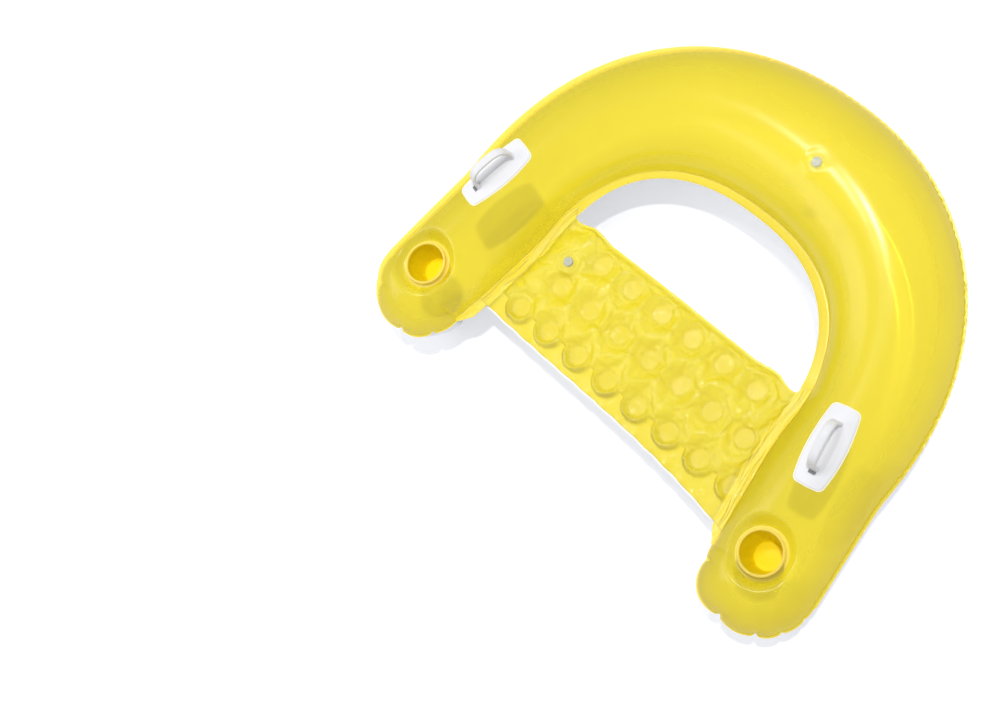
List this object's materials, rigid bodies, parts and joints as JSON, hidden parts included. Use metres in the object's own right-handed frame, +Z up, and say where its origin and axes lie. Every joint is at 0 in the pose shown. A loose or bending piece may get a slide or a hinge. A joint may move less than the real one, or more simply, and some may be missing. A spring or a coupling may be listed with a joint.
{
  "type": "inflatable pool chair",
  "caption": "Inflatable pool chair: horseshoe float tube with a spot-welded seat between the arms, moulded grab handles and cup pockets.",
  "frame": {"origin": "on the floor plane, under the middle of the chair's outline, with the chair inflated and lying flat", "axes": "+X across the chair, to the right as the front is looked at from above with the back away; +Y from the arm ends to the back; +Z up"},
  "size_m": [1.2318, 0.9794, 0.2867],
  "materials": {
    "yellow_vinyl": "glossy, soft sheet PVC",
    "white_vinyl": "glossy, soft sheet PVC",
    "white_moulding": "satin, moulded soft PVC",
    "clear_vinyl": "glossy, cloudy clear moulded PVC",
    "cap_vinyl": "glossy, cloudy clear moulded PVC"
  },
  "bodies": {
    "chair": {"tube_top_sheet": "yellow_vinyl", "tube_bottom_sheet": "white_vinyl", "seat_top_sheet": "yellow_vinyl", "seat_bottom_sheet": "white_vinyl", "cup_sleeve_left": "yellow_vinyl", "cup_sleeve_right": "yellow_vinyl", "cup_floor_left": "yellow_vinyl", "cup_floor_right": "yellow_vinyl", "grab_handle_left": "white_moulding", "grab_handle_right": "white_moulding", "tube_valve_neck": "clear_vinyl", "seat_valve_neck": "clear_vinyl"},
    "tube_valve_stem": {"tube_valve_stem": "clear_vinyl"},
    "tube_valve_cap": {"tube_valve_cap": "cap_vinyl"},
    "tube_valve_flap": {"tube_valve_flap": "clear_vinyl"},
    "seat_valve_stem": {"seat_valve_stem": "clear_vinyl"},
    "seat_valve_cap": {"seat_valve_cap": "cap_vinyl"},
    "seat_valve_flap": {"seat_valve_flap": "clear_vinyl"}
  },
  "joints": [
    {"name": "tube_valve_slide", "type": "slide", "parent": "chair", "child": "tube_valve_stem", "axis": [0, 0, 1], "range_m": [0, 0.01]},
    {"name": "tube_valve_cap_hinge", "type": "hinge", "parent": "tube_valve_stem", "child": "tube_valve_cap", "pos_m": [0.085, 0.32775, 0.25874], "axis": [-1, 0, 0], "range_deg": [0, 150]},
    {"name": "tube_valve_flap_hinge", "type": "hinge", "parent": "tube_valve_stem", "child": "tube_valve_flap", "pos_m": [0.085, 0.32595, 0.24339], "axis": [1, 0, 0], "range_deg": [0, 45]},
    {"name": "seat_valve_slide", "type": "slide", "parent": "chair", "child": "seat_valve_stem", "axis": [0, 0, 1], "range_m": [0, 0.01]},
    {"name": "seat_valve_cap_hinge", "type": "hinge", "parent": "seat_valve_stem", "child": "seat_valve_cap", "pos_m": [-0.25296, -0.12648, 0.1386], "axis": [-1, 0, 0], "range_deg": [0, 150]},
    {"name": "seat_valve_flap_hinge", "type": "hinge", "parent": "seat_valve_stem", "child": "seat_valve_flap", "pos_m": [-0.25296, -0.12828, 0.12325], "axis": [1, 0, 0], "range_deg": [0, 45]}
  ]
}
